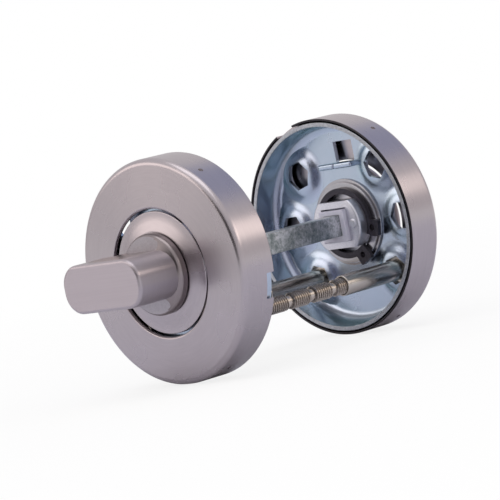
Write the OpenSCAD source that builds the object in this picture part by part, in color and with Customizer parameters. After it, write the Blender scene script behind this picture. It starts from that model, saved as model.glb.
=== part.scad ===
// Bathroom thumb turn lock: two round roses that clamp a door between them.
// The thumb turn drives a square spindle, and the coin release on the far rose turns with it.
// The axis of the spindle runs along Y, the turn is on the -Y side, and +Z is up.
// The origin lies on that axis, midway between the open rims of the two roses.

/* [Door] */
// Distance between the open rims of the two roses
door_gap = 46.5; // [36:0.5:50]

/* [Rose covers] */
// Diameter of a cover
cover_d = 52; // [48:1:60]
// Depth of a cover from its open rim to its face
cover_depth = 9.5; // [9.3:0.1:10.5]
// Thickness of the pressed stainless sheet
cover_sheet = 0.8; // [0.6:0.1:1]
// Radius of the edge between the face and the side of a cover
cover_edge_r = 1.5; // [1.2:0.1:2]
// Rise of the crowned face from its edge to its opening
cover_crown = 0.6; // [0.2:0.1:0.8]
// Radius of the edge of the opening
opening_edge_r = 0.6; // [0.3:0.1:0.7]
// Width of the prying notch in the open rim
notch_w = 6; // [4:0.5:8]
// Depth of the prying notch
notch_depth = 2.4; // [1:0.1:3]
// Place of the notch on the turn cover, in degrees from the top
turn_notch_angle = 105; // [70:1:120]
// Place of the notch on the release cover, in degrees from the top
release_notch_angle = -20; // [-60:1:20]
// Diameter of a punched snap dimple
dimple_d = 1.8; // [1.2:0.1:2.4]
// Diameter of the tip of a snap dimple
dimple_tip_d = 0.9; // [0.6:0.1:1]
// Height of the dimples above the open rim
dimple_height = 5.5; // [4:0.1:6]
// Place of the first dimple, in degrees from the top
dimple_angle = 35; // [20:1:50]

/* [Fixing plates] */
// Depth of a plate from its rim to its outer face
plate_depth = 8; // [7.8:0.1:8.4]
// Thickness of the zinc-plated steel sheet
plate_sheet = 1; // [0.8:0.1:1.2]
// Inside radius of the fold between the floor and the wall
plate_fold_r = 1.6; // [1:0.1:2]
// Width across the flats of a fixing hole
fixing_hole_af = 6.2; // [5.8:0.1:6.4]
// Diameter of a raised seat
seat_d = 10.4; // [10:0.1:11]
// Radius of the edge of a raised seat
seat_edge_r = 0.8; // [0.5:0.1:1]
// Rise of the seats above the floor
seat_rise = 1.2; // [1:0.1:1.4]
// Width of the rectangular cut-out
window_w = 6; // [5:0.1:7]
// Height of the rectangular cut-out
window_h = 5; // [4:0.1:5.4]
// Distance of the cut-out from the middle of the plate
window_r = 17; // [16.8:0.1:17.4]
// Sideways place of the cut-out
window_x = 2.6; // [1:0.1:3]
// Width of the folded lip under the cut-out
lip_w = 11.4; // [9:0.1:12]
// Height of the folded lip above the floor
lip_rise = 1.5; // [0.8:0.1:2]
// Width of the step in the corner of the lip
lip_notch_w = 0.9; // [0.5:0.1:1.5]
// Depth of the step in the corner of the lip
lip_notch_depth = 0.5; // [0.3:0.1:0.8]

/* [Flange bushes and washers] */
// Wall of the bush round the neck
bush_wall = 1.75; // [1.5:0.05:2]
// Flat rim of the flange outside the collar
flange_rim_w = 1.2; // [0.8:0.1:1.5]
// Thickness of the flange
flange_t = 1.5; // [1:0.1:1.6]
// Lap of the collar round the boss
collar_lap = 0.2; // [0:0.05:0.4]
// Width of the coned side of the collar
collar_cone_w = 3.3; // [2.6:0.1:3.6]
// Rise of the collar above the flange
collar_rise = 0.8; // [0.6:0.1:1.2]
// Lap of the large washer over the bush
large_washer_lap = 1.1; // [0.8:0.1:1.4]
// Lap of the small washer over the bush
small_washer_lap = 0.4; // [0.3:0.1:0.6]
// Thickness of each washer
washer_t = 0.55; // [0.4:0.05:0.6]

/* [Retaining rings] */
// Thickness of a retaining ring
ring_t = 1; // [0.8:0.1:1.2]
// Height of the ring above the neck, beside its lugs
ring_rise = 0.95; // [0.8:0.05:1.2]
// Depth of the ring groove in the neck
groove_depth = 0.45; // [0.35:0.05:0.6]
// Width of a square lug
lug_w = 3.9; // [3.4:0.1:4]
// Radius of the corners of a lug
lug_corner_r = 0.5; // [0.3:0.1:0.8]
// Height of the middle of a lug above the neck
lug_rise = 1.45; // [1.3:0.05:1.7]
// Diameter of the plier hole in a lug
lug_hole_d = 1.5; // [1.2:0.1:1.8]
// Place of the gap between the lugs, in degrees from the top
ring_gap_angle = 127; // [100:1:150]
// Angle between the middle of the gap and each lug
lug_spread = 25; // [24:1:28]
// Angle that the gap takes up
ring_gap_width = 25; // [20:1:26]

/* [Thumb turn] */
// Width of the shoulder between the neck and the side of the boss
boss_shoulder_w = 1.85; // [1.6:0.05:2.2]
// Width across the flats of the nose
nose_af = 11.2; // [10.8:0.1:12]
// Distance of the nose from the plane of the open rim
nose_depth = 2.2; // [1.8:0.1:2.6]
// Length of the flats of the nose, which run past the retaining ring
flat_len = 5; // [4:0.1:5.4]
// Chamfer of the front edge of the nose
nose_chamfer = 0.6; // [0.3:0.1:1]
// Diameter of the round pip beside the insert
pip_d = 2.3; // [1.8:0.1:2.4]
// Height of the pip
pip_rise = 0.4; // [0.2:0.1:0.6]
// Diameter of the turned boss
boss_d = 18.8; // [18.4:0.1:19.4]
// Height of the straight side of the boss
boss_h = 1.8; // [1.2:0.1:2]
// Rise of the coned shoulder of the boss
shoulder_rise = 1.5; // [1:0.1:1.8]
// Width of the coned shoulder of the boss
boss_cone_w = 2.7; // [2:0.1:3.2]
// Distance from the back of the boss to the front of the blade
blade_reach = 14; // [13.5:0.1:17]
// Thickness of the blade
blade_t = 11.2; // [10:0.1:12]
// Distance of the long end of the blade from the axis
blade_long = 17; // [12:0.1:18]
// Distance of the short end of the blade inside the side of the boss
blade_inset = 0.9; // [0.5:0.05:1.2]
// Corner radius of the blade, seen from the front
blade_corner_r = 4.9; // [3:0.1:5]
// Radius of the front edge of the blade
blade_edge_r = 0.8; // [0.4:0.1:1.2]
// Depth of the free end of the blade at its tip
wing_tip_t = 8; // [6:0.1:9]
// Depth of the free end of the blade where it leaves the boss
wing_root_t = 10.2; // [9:0.1:10.6]
// Height of the milled steps above the back of the boss
step_h = 2.1; // [1.8:0.1:2.4]
// Place of the end of the milled steps
step_end = 2.4; // [0:0.1:3]
// Radius of the cutter that left the steps
cutter_r = 1.3; // [1:0.1:1.6]
// Reach of the steps behind the side of the blade
step_reach = 0.3; // [0.1:0.1:0.5]

/* [Coin release] */
// Height of the release button
button_h = 2.4; // [2:0.1:3]
// Width of the coin slot
coin_slot_w = 1.7; // [1.4:0.1:2]
// Depth of the coin slot
coin_slot_depth = 1.5; // [1:0.1:1.6]
// Chamfer of the edge of the button
button_chamfer = 0.5; // [0.3:0.1:0.8]

/* [Spindle and inserts] */
// Width of the square spindle
spindle_w = 5; // [4.5:0.1:5.2]
// Length of the spindle
spindle_len = 66; // [62:0.5:66.5]
// Width of a square insert
insert_w = 8; // [7.6:0.1:8.2]
// Length of an insert
insert_len = 7.8; // [6:0.1:8]
// Length of the insert that stands out of the nose
insert_proud = 1.2; // [0.6:0.1:1.6]
// Depth of the square bore left solid behind the blade's front
bore_wall = 2; // [1.8:0.1:2.2]

/* [Screws and sleeve nuts] */
// Crest diameter of a screw
screw_d = 3.9; // [3.6:0.1:4]
// Length of a screw under its head
screw_len = 47; // [44:0.5:48.5]
// Diameter of the head of a screw
screw_head_d = 7.5; // [7:0.1:7.6]
// Height of the head of a screw
screw_head_h = 1.5; // [1.2:0.1:1.6]
// Width of the slots in the heads of screws and nuts
drive_slot_w = 1.1; // [0.9:0.1:1.3]
// Depth of the slots in the heads
drive_slot_depth = 0.7; // [0.5:0.1:0.9]
// Length of the crossed slots in the head of a screw
drive_slot_len = 3.8; // [3:0.1:4.5]
// Diameter of a break-off neck
break_d = 2.8; // [2.4:0.1:3]
// Length of a break-off neck
break_len = 1.7; // [1:0.1:2]
// Distance from one break-off neck to the next
break_pitch = 7.4; // [6:0.1:9]
// Number of break-off necks
break_count = 4; // [2:1:5]
// Distance from the tip of the screw to the first neck
break_first = 3.3; // [2:0.1:4]
// Outer diameter of a sleeve nut
sleeve_d = 4.9; // [4.6:0.1:5.2]
// Length of a sleeve nut under its head
sleeve_len = 20; // [18:0.5:21]
// Depth of the bore of a sleeve nut
sleeve_bore_depth = 20; // [19.8:0.1:20.2]
// Diameter of the head of a sleeve nut
sleeve_head_d = 7.5; // [7:0.1:7.6]
// Height of the head of a sleeve nut
sleeve_head_h = 1.4; // [1.2:0.1:1.6]

/* [Clearances] */
// Radial play of the necks in their bushes and washers
bearing_gap = 0.1; // [0.05:0.01:0.1]
// Play between the boss and the collar
turn_gap = 0.25; // [0.2:0.05:0.4]
// Play of a retaining ring in its groove
ring_play = 0.05; // [0.03:0.01:0.1]
// Play of a screw in its sleeve nut, to each side
thread_gap = 0.05; // [0.03:0.01:0.08]
// Play of the spindle in the square holes, to each side
spindle_gap = 0.1; // [0.05:0.01:0.15]
// Play of an insert in its socket, to each side
insert_gap = 0.05; // [0.03:0.01:0.1]
// Play of the snap dimples on the wall of the plate
snap_gap = 0.05; // [0.02:0.01:0.1]
// Gap between the plate and the cover
rim_gap = 0.5; // [0.3:0.1:0.8]
// Gap between the flange and the opening of the cover
flange_gap = 0.6; // [0.5:0.1:1.2]
// Gap between a raised seat and the wall of the plate
seat_wall_gap = 0.5; // [0.2:0.1:1]

/* [Hidden] */
$fn = 64;

// Overrun of every cut past the surface that it opens
over = 0.5;
// Fixing holes, in degrees from the top of the plate
fixing_angles = [-135, -90, -45, 45, 90, 135];
// Holes that take the two screws
screw_angles = [-135, 135];
// Snap dimples are spread evenly round the rim
dimple_count = 3;
dimple_depth = rim_gap - snap_gap;
// The neck, the bush, the washers and the ring take their widths from the boss
neck_d = boss_d - 2 * boss_shoulder_w;
neck_bore_d = neck_d + 2 * bearing_gap;
plate_bore_d = neck_bore_d + 2 * bush_wall;
collar_d = boss_d + 2 * collar_lap;
collar_base_d = collar_d + 2 * collar_cone_w;
flange_d = collar_base_d + 2 * flange_rim_w;
cover_hole_d = flange_d + 2 * flange_gap;
large_washer_d = plate_bore_d + 2 * large_washer_lap;
small_washer_d = plate_bore_d + 2 * small_washer_lap;
ring_d = neck_d + 2 * ring_rise;
groove_d = neck_d - 2 * groove_depth;
lug_r = neck_d / 2 + lug_rise;
shoulder_top_d = boss_d - 2 * boss_cone_w;
blade_short = boss_d / 2 - blade_inset;
// The plate fits in the cover, and its seats lie beside its wall
plate_d = cover_d - 2 * (cover_sheet + rim_gap);
fixing_r = plate_d / 2 - plate_sheet - seat_wall_gap - seat_d / 2;
// Floor of the plate on the side of the door
floor_d = plate_depth - plate_sheet;
// Underside of a raised seat, where the heads of screws and nuts bear
seat_at = plate_depth - seat_rise;
// Top of the collar and back of the boss, from the plane of the open rim
collar_top = plate_depth + flange_t + collar_rise;
boss_back = collar_top + turn_gap;
boss_top = boss_back + boss_h + shoulder_rise;
blade_front = boss_back + blade_reach;
step_floor = boss_back + step_h;
// Stack of washers on the floor of the plate
large_washer_at = floor_d - washer_t;
small_washer_at = large_washer_at - washer_t;
// The retaining ring lies on the stack with its play
ring_at = small_washer_at - ring_play - ring_t;
groove_at = ring_at - ring_play;
groove_len = small_washer_at - groove_at;
// Square sockets and bores
socket_w = insert_w + 2 * insert_gap;
square_bore_w = spindle_w + 2 * spindle_gap;
insert_at = nose_depth - insert_proud;
socket_end = insert_at + insert_len + spindle_gap;
bore_end = blade_front - bore_wall;
// The tip of the spindle bears on the bottom of the socket in the coin release
spindle_end = socket_end - spindle_gap;
sleeve_bore_d = screw_d + 2 * thread_gap;
screw_tip_chamfer = (screw_d - break_d) / 2;
lip_t = plate_sheet;
// The pip lies midway between the socket and the chamfer of the nose
pip_r = (socket_w / 2 + neck_d / 2 - nose_chamfer) / 2;
// Top of the face of a cover at the edge of its opening
opening_at = cover_depth + cover_crown;
opening_r = cover_hole_d / 2;

// Puts a rose drawn with its open rim at z = 0 and its face towards +z on the side of the turn.
module turn_side() {
    translate([0, -door_gap / 2, 0]) rotate([90, 0, 0]) children();
}

// The release side is its mirror image across the middle of the door.
module release_side() {
    mirror([0, 1, 0]) turn_side() children();
}

// Moves a shape out from the axis at an angle measured from the top.
module round_from_top(angle, radius) {
    rotate([0, 0, -angle]) translate([0, radius, 0]) children();
}

// Half section of a cup with a round corner between its floor and its wall.
module cup_section(radius, depth, corner) {
    square([radius - corner, depth]);
    square([radius, depth - corner]);
    translate([radius - corner, depth - corner]) circle(corner);
}

module ring_section(inner, outer, height) {
    translate([inner, 0]) square([outer - inner, height]);
}

module square_bar(width, length) {
    translate([-width / 2, -width / 2, 0]) cube([width, width, length]);
}

// Hexagon given by its width across the flats, with a flat towards the top.
module hexagon_bar(across, length) {
    cylinder(h = length, d = across / cos(30), $fn = 6);
}

// Half section of the crowned face, which rises from its edge to the opening.
module crown_section(top) {
    edge_x = cover_d / 2 - cover_edge_r;
    polygon([
        [0, top - cover_sheet / 2],
        [edge_x, top - cover_sheet / 2],
        [edge_x, top],
        [opening_r, top + cover_crown],
        [0, top + cover_crown]
    ]);
}

// Half section of the opening, with its edge rounded on the outside.
module opening_section() {
    translate([0, cover_depth - cover_sheet - over])
        square([opening_r, cover_crown + cover_sheet + 2 * over]);
    difference() {
        translate([0, opening_at - opening_edge_r])
            square([opening_r + opening_edge_r, opening_edge_r + over]);
        translate([opening_r + opening_edge_r, opening_at - opening_edge_r])
            circle(opening_edge_r);
    }
}

// Pressed cover with its face opening, prying notch and snap dimples.
module rose_cover(notch_angle) {
    difference() {
        union() {
            rotate_extrude() difference() {
                union() {
                    cup_section(cover_d / 2, cover_depth, cover_edge_r);
                    crown_section(cover_depth);
                }
                translate([0, -over])
                    cup_section(cover_d / 2 - cover_sheet, cover_depth - cover_sheet + over,
                        cover_edge_r - cover_sheet);
                crown_section(cover_depth - cover_sheet);
                opening_section();
            }
            for (k = [0 : dimple_count - 1])
                round_from_top(dimple_angle + k * 360 / dimple_count, plate_d / 2 + snap_gap)
                    translate([0, 0, dimple_height]) rotate([-90, 0, 0])
                        cylinder(h = dimple_depth + cover_sheet / 2,
                            d1 = dimple_tip_d, d2 = dimple_d);
        }
        round_from_top(notch_angle, cover_d / 2)
            translate([-notch_w / 2, -cover_sheet - over, -over])
                cube([notch_w, cover_sheet + 2 * over, notch_depth + over]);
        for (k = [0 : dimple_count - 1])
            round_from_top(dimple_angle + k * 360 / dimple_count, cover_d / 2 - cover_sheet / 2)
                translate([0, 0, dimple_height]) rotate([-90, 0, 0])
                    cylinder(h = cover_sheet, d = dimple_tip_d);
    }
}

// Raised seat with a rounded edge; the sheet keeps its thickness over the rise.
module seat_outside() {
    translate([0, 0, floor_d + plate_sheet / 2]) mirror([0, 0, 1])
        rotate_extrude() cup_section(seat_d / 2, seat_rise + plate_sheet / 2, seat_edge_r);
}

// Hollow behind a seat, and its hexagonal hole.
module seat_hollow() {
    translate([0, 0, seat_at])
        cylinder(h = seat_rise + over, d = seat_d - 2 * plate_sheet);
    translate([0, 0, floor_d - seat_rise - over])
        rotate([0, 0, 30]) hexagon_bar(fixing_hole_af, plate_sheet + 2 * over);
}

// Pressed zinc-plated cup that is screwed to the door and carries the cover and the bush.
module fixing_plate() {
    difference() {
        union() {
            rotate_extrude() difference() {
                cup_section(plate_d / 2, plate_depth, plate_fold_r + plate_sheet);
                translate([0, -over])
                    cup_section(plate_d / 2 - plate_sheet, floor_d + over, plate_fold_r);
            }
            for (angle = fixing_angles)
                round_from_top(angle, fixing_r) seat_outside();
            translate([window_x + window_w / 2 - lip_w, window_r - window_h / 2 - lip_t,
                floor_d - lip_rise])
                cube([lip_w, lip_t, lip_rise + plate_sheet / 2]);
        }
        for (angle = fixing_angles)
            round_from_top(angle, fixing_r) seat_hollow();
        translate([0, 0, floor_d - over])
            cylinder(h = plate_sheet + 2 * over, d = plate_bore_d);
        translate([window_x - window_w / 2, window_r - window_h / 2, floor_d - over])
            cube([window_w, window_h, plate_sheet + 2 * over]);
        translate([window_x - window_w / 2 - lip_notch_w, window_r - window_h / 2 - lip_t - over,
            floor_d - lip_rise - over])
            cube([lip_notch_w, lip_t + 2 * over, lip_notch_depth + over]);
    }
}

// Round flange with a coned collar, and the bush behind it that fits the plate.
module flange_bush() {
    rotate_extrude() polygon([
        [neck_bore_d / 2, floor_d],
        [plate_bore_d / 2, floor_d],
        [plate_bore_d / 2, plate_depth],
        [flange_d / 2, plate_depth],
        [flange_d / 2, plate_depth + flange_t],
        [collar_base_d / 2, plate_depth + flange_t],
        [collar_d / 2, collar_top],
        [neck_bore_d / 2, collar_top]
    ]);
}

module washer(outer_d, at) {
    translate([0, 0, at]) rotate_extrude()
        ring_section(neck_bore_d / 2, outer_d / 2, washer_t);
}

// Square with round corners.
module lug_outline() {
    inner = lug_w - 2 * lug_corner_r;
    square([lug_w, inner], center = true);
    square([inner, lug_w], center = true);
    for (x = [-1, 1], y = [-1, 1])
        translate([x * inner / 2, y * inner / 2]) circle(lug_corner_r);
}

// Retaining ring with two plier lugs beside its gap.
module retaining_ring() {
    gap_reach = lug_r + lug_w;
    translate([0, 0, ring_at]) linear_extrude(ring_t) difference() {
        union() {
            circle(d = ring_d);
            for (side = [-1, 1])
                rotate(-ring_gap_angle - side * lug_spread) translate([0, lug_r])
                    lug_outline();
        }
        circle(d = groove_d);
        for (side = [-1, 1])
            rotate(-ring_gap_angle - side * lug_spread) translate([0, lug_r])
                circle(d = lug_hole_d);
        rotate(-ring_gap_angle) polygon([
            [0, 0],
            [-gap_reach * tan(ring_gap_width / 2), gap_reach],
            [gap_reach * tan(ring_gap_width / 2), gap_reach]
        ]);
    }
}

// Turned neck and nose, shared by the thumb turn and the coin release.
module neck_section() {
    polygon([
        [0, nose_depth],
        [neck_d / 2 - nose_chamfer, nose_depth],
        [neck_d / 2, nose_depth + nose_chamfer],
        [neck_d / 2, groove_at],
        [groove_d / 2, groove_at],
        [groove_d / 2, groove_at + groove_len],
        [neck_d / 2, groove_at + groove_len],
        [neck_d / 2, boss_back + over],
        [0, boss_back + over]
    ]);
}

module nose_flats() {
    for (side = [0, 180])
        rotate([0, 0, side])
            translate([-neck_d / 2, nose_af / 2, nose_depth - over])
                cube([neck_d, neck_d / 2, flat_len + over]);
}

// Square socket for the insert.
module insert_socket() {
    translate([0, 0, nose_depth - over])
        square_bar(socket_w, socket_end - nose_depth + over);
}

// Round pip with a coned edge on the front of the nose, beside the socket.
module nose_pip() {
    translate([pip_r, 0, nose_depth - pip_rise])
        cylinder(h = pip_rise, d1 = pip_d - 2 * pip_rise, d2 = pip_d);
    translate([pip_r, 0, nose_depth]) cylinder(h = over, d = pip_d);
}

// Turned boss with a straight side and a coned shoulder.
module boss_section() {
    polygon([
        [0, boss_back],
        [boss_d / 2, boss_back],
        [boss_d / 2, boss_back + boss_h],
        [shoulder_top_d / 2, boss_top],
        [0, boss_top]
    ]);
}

// Round disc with a soft edge on its front, for the corners of the blade.
module soft_corner() {
    rotate_extrude() cup_section(blade_corner_r, blade_front - boss_back, blade_edge_r);
}

// Bar section with soft edges on its front.
module soft_bar_section(width) {
    height = blade_front - boss_back;
    translate([-width / 2, 0]) square([width, height - blade_edge_r]);
    translate([-width / 2 + blade_edge_r, 0]) square([width - 2 * blade_edge_r, height]);
    for (side = [-1, 1])
        translate([side * (width / 2 - blade_edge_r), height - blade_edge_r])
            circle(blade_edge_r);
}

// Offset blade, with its corners rounded and its front edge softened.
module blade() {
    blade_len = blade_long + blade_short;
    inner_x = blade_len - 2 * blade_corner_r;
    inner_y = blade_t - 2 * blade_corner_r;
    translate([(blade_short - blade_long) / 2, 0, boss_back]) {
        for (x = [-1, 1], y = [-1, 1])
            translate([x * inner_x / 2, y * inner_y / 2, 0]) soft_corner();
        translate([-inner_x / 2, 0, 0]) rotate([90, 0, 90])
            linear_extrude(inner_x) soft_bar_section(blade_t);
        translate([0, inner_y / 2, 0]) rotate([90, 0, 0])
            linear_extrude(inner_y) soft_bar_section(blade_len);
    }
}

// Space under the free end of the blade; its roof slopes towards the tip.
module wing_relief() {
    reach = blade_long + over;
    side = blade_t / 2 + over;
    root_x = boss_d / 2;
    slope = (wing_root_t - wing_tip_t) / (blade_long - root_x);
    translate([0, side, 0]) rotate([90, 0, 0]) linear_extrude(2 * side) polygon([
        [-root_x, boss_back - over],
        [-root_x, blade_front - wing_root_t],
        [-reach, blade_front - wing_tip_t + slope * over],
        [-reach, boss_back - over]
    ]);
}

// Steps that a cutter left on the boss, above and below the blade.
module milled_step() {
    start_y = blade_t / 2 - step_reach;
    translate([-boss_d / 2 - over, start_y, step_floor])
        cube([boss_d / 2 + over + step_end, boss_d / 2, boss_top]);
    translate([step_end, start_y + cutter_r, step_floor])
        cylinder(h = boss_top, r = cutter_r);
}

// Neck, boss and blade in one piece, with the nose flats, the socket and the square bore.
module knob_body() {
    difference() {
        union() {
            rotate_extrude() neck_section();
            nose_pip();
            difference() {
                rotate_extrude() boss_section();
                for (side = [0, 1]) mirror([0, side, 0]) milled_step();
            }
            difference() {
                blade();
                wing_relief();
            }
        }
        nose_flats();
        insert_socket();
        translate([0, 0, socket_end - over])
            square_bar(square_bore_w, bore_end - socket_end + over);
    }
}

module turn_cover() { color("#a8a2a4") turn_side() rose_cover(turn_notch_angle); }

module turn_plate() { color("#b3bcc9") turn_side() fixing_plate(); }

module turn_flange_bush() { color("#aaa4a6") turn_side() flange_bush(); }

module turn_large_washer() { color("#b9b6b0") turn_side() washer(large_washer_d, large_washer_at); }

module turn_small_washer() { color("#c6c1bb") turn_side() washer(small_washer_d, small_washer_at); }

module thumb_turn_knob() { color("#a39c9e") turn_side() knob_body(); }

module insert() {
    translate([0, 0, insert_at]) difference() {
        square_bar(insert_w, insert_len);
        translate([0, 0, -over]) square_bar(square_bore_w, insert_len + 2 * over);
    }
}

module turn_insert() { color("#d9d9e2") turn_side() insert(); }

module turn_circlip() { color("#35302f") turn_side() retaining_ring(); }

// Screw with break-off necks; its head bears on the underside of a raised seat.
module break_off_screw() {
    difference() {
        union() {
            translate([0, 0, seat_at]) cylinder(h = screw_head_h, d = screw_head_d);
            translate([0, 0, seat_at - screw_len + screw_tip_chamfer])
                cylinder(h = screw_len - screw_tip_chamfer, d = screw_d);
            translate([0, 0, seat_at - screw_len])
                cylinder(h = screw_tip_chamfer, d1 = break_d, d2 = screw_d);
        }
        for (k = [0 : break_count - 1])
            translate([0, 0, seat_at - screw_len + break_first + k * break_pitch - break_len / 2])
                rotate_extrude() ring_section(break_d / 2, screw_d, break_len);
        for (turn = [0, 90])
            rotate([0, 0, turn])
                translate([-drive_slot_len / 2, -drive_slot_w / 2,
                    seat_at + screw_head_h - drive_slot_depth])
                    cube([drive_slot_len, drive_slot_w, drive_slot_depth + over]);
    }
}

module screw_left() {
    color("#9c938b") turn_side() round_from_top(screw_angles[0], fixing_r) break_off_screw();
}

module screw_right() {
    color("#9c938b") turn_side() round_from_top(screw_angles[1], fixing_r) break_off_screw();
}

// Tubular nut with a slotted head that bears on the underside of a raised seat.
module sleeve_nut() {
    difference() {
        union() {
            translate([0, 0, seat_at]) cylinder(h = sleeve_head_h, d = sleeve_head_d);
            translate([0, 0, seat_at - sleeve_len]) cylinder(h = sleeve_len + over, d = sleeve_d);
        }
        translate([0, 0, seat_at - sleeve_len - over])
            cylinder(h = sleeve_bore_depth + over, d = sleeve_bore_d);
        translate([-sleeve_head_d / 2 - over, -drive_slot_w / 2,
            seat_at + sleeve_head_h - drive_slot_depth])
            cube([sleeve_head_d + 2 * over, drive_slot_w, drive_slot_depth + over]);
    }
}

module sleeve_nut_left() {
    color("#c2bdb4") release_side() round_from_top(screw_angles[0], fixing_r) sleeve_nut();
}

module sleeve_nut_right() {
    color("#c2bdb4") release_side() round_from_top(screw_angles[1], fixing_r) sleeve_nut();
}

module release_cover() { color("#a8a2a4") release_side() rose_cover(release_notch_angle); }

module release_plate() { color("#b3bcc9") release_side() fixing_plate(); }

module release_flange_bush() { color("#aaa4a6") release_side() flange_bush(); }

module release_large_washer() {
    color("#b9b6b0") release_side() washer(large_washer_d, large_washer_at);
}

module release_small_washer() {
    color("#c6c1bb") release_side() washer(small_washer_d, small_washer_at);
}

// Turned release with a round button and a coin slot across it.
module coin_release() {
    button_top = boss_back + button_h;
    color("#a39c9e") release_side() difference() {
        union() {
            nose_pip();
            rotate_extrude() {
                neck_section();
                polygon([
                    [0, boss_back],
                    [boss_d / 2, boss_back],
                    [boss_d / 2, button_top - button_chamfer],
                    [boss_d / 2 - button_chamfer, button_top],
                    [0, button_top]
                ]);
            }
        }
        nose_flats();
        insert_socket();
        translate([-boss_d / 2 - over, -coin_slot_w / 2, button_top - coin_slot_depth])
            cube([boss_d + 2 * over, coin_slot_w, coin_slot_depth + over]);
    }
}

module release_insert() { color("#d9d9e2") release_side() insert(); }

module release_circlip() { color("#35302f") release_side() retaining_ring(); }

// Square bar that is held in the coin release and slides in the bore of the thumb turn.
module spindle() {
    color("#a9adb3") release_side() translate([0, 0, spindle_end - spindle_len])
        square_bar(spindle_w, spindle_len);
}

turn_cover();
turn_plate();
turn_flange_bush();
turn_large_washer();
turn_small_washer();
screw_left();
screw_right();
thumb_turn_knob();
turn_insert();
turn_circlip();
release_cover();
release_plate();
release_flange_bush();
release_large_washer();
release_small_washer();
sleeve_nut_left();
sleeve_nut_right();
coin_release();
release_insert();
release_circlip();
spindle();
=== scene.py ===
import math

import bmesh
import bpy
from mathutils import Matrix, Vector


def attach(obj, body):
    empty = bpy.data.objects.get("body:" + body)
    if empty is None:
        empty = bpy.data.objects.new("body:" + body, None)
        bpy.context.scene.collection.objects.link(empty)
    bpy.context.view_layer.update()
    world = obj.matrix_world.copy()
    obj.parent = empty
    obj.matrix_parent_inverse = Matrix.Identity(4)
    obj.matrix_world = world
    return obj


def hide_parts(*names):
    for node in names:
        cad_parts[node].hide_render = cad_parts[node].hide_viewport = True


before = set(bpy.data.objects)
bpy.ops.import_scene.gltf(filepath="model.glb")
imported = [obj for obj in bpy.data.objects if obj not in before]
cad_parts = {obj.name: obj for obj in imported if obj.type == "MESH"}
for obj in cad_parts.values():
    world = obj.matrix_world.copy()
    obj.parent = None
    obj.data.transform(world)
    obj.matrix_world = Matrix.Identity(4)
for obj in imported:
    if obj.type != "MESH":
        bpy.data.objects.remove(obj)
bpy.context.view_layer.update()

# Camera. The photo looks at the set from the side of the thumb turn, from the right and a
# little from above, and the set lies rolled about its spindle by the lean below.
MM = 0.001
camera_azimuth, camera_elevation, camera_lean = 43.83, 15.12, 16.0
camera_distance = 753.86
camera_lens, camera_near, camera_far = 233.8, 50.0, 20000.0
camera_sideways, camera_lower = 2.849, 1.02

azimuth, elevation = math.radians(camera_azimuth), math.radians(camera_elevation)
lean = Matrix.Rotation(math.radians(camera_lean), 3, "Y")
back = lean @ Vector((math.sin(azimuth) * math.cos(elevation),
                      -math.cos(azimuth) * math.cos(elevation), math.sin(elevation)))
right = lean @ Vector((math.cos(azimuth), math.sin(azimuth), 0))
up = back.cross(right)
camera = bpy.data.objects.new("camera", bpy.data.cameras.new("camera"))
camera.data.lens = camera_lens
camera.data.clip_start, camera.data.clip_end = camera_near * MM, camera_far * MM
camera.matrix_world = Matrix.Translation(
    (back * camera_distance - right * camera_sideways - up * camera_lower) * MM
) @ Matrix((right, up, back)).transposed().to_4x4()
scene = bpy.context.scene
scene.collection.objects.link(camera)
scene.camera = camera
scene.view_settings.view_transform = "Standard"


# Studio. A white sweep with a big soft box above and two at the sides, in a pale room that
# is bluer and darker high up behind the set. The stage is in metres, the set in millimetres.
def linear(colour):
    """Turns an sRGB hex colour into the linear one that a shader takes."""
    shares = [int(colour[k:k + 2], 16) / 255 for k in (1, 3, 5)]
    return [s / 12.92 if s <= 0.04045 else ((s + 0.055) / 1.055) ** 2.4 for s in shares] + [1]


def add(tree, kind, inputs=(), **settings):
    """Adds one node with its settings; each input is a value or the socket it comes from."""
    made = tree.nodes.new(kind)
    for name, value in settings.items():
        setattr(made, name, value)
    for socket, value in dict(inputs).items():
        if isinstance(value, bpy.types.NodeSocket):
            tree.links.new(value, made.inputs[socket])
        else:
            made.inputs[socket].default_value = value
    return made


def bare_material(name):
    """Starts a material: gives it, its empty node tree and the place on the piece."""
    made = bpy.data.materials.new(name)
    made.use_nodes = True
    made.node_tree.nodes.clear()
    return made, made.node_tree, add(made.node_tree, "ShaderNodeTexCoord").outputs["Object"]


room_overhead, room_level, room_behind = "#f6f5f7", "#dedadc", "#b3bcda"
behind_at, behind_core, behind_edge = Vector((0.05, 0.7, 0.71)).normalized(), 6, 28
world = bpy.data.worlds.new("studio")
scene.world = world
world.use_nodes = True
tree = world.node_tree
tree.nodes.clear()
direction = add(tree, "ShaderNodeTexCoord").outputs["Generated"]
height = add(tree, "ShaderNodeSeparateXYZ", {"Vector": direction}).outputs["Z"]
room = add(tree, "ShaderNodeMixRGB", {
    "Fac": add(tree, "ShaderNodeMapRange", {"Value": height}).outputs["Result"],
    "Color1": linear(room_level), "Color2": linear(room_overhead)}).outputs["Color"]
near = add(tree, "ShaderNodeVectorMath", {0: direction, 1: behind_at}, operation="DOT_PRODUCT")
dark = add(tree, "ShaderNodeMapRange", {
    "Value": near.outputs["Value"], "From Min": math.cos(math.radians(behind_edge)),
    "From Max": math.cos(math.radians(behind_core))}, interpolation_type="SMOOTHSTEP")
room = add(tree, "ShaderNodeMixRGB", {
    "Fac": dark.outputs["Result"], "Color1": room, "Color2": linear(room_behind)})
studio = add(tree, "ShaderNodeBackground", {"Color": room.outputs["Color"], "Strength": 1.0})
white = add(tree, "ShaderNodeBackground", {"Color": linear("#ffffff"), "Strength": 1.0})
seen = add(tree, "ShaderNodeMixShader", {
    0: add(tree, "ShaderNodeLightPath").outputs["Is Camera Ray"],
    1: studio.outputs[0], 2: white.outputs[0]})
add(tree, "ShaderNodeOutputWorld", {"Surface": seen.outputs[0]})

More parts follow.
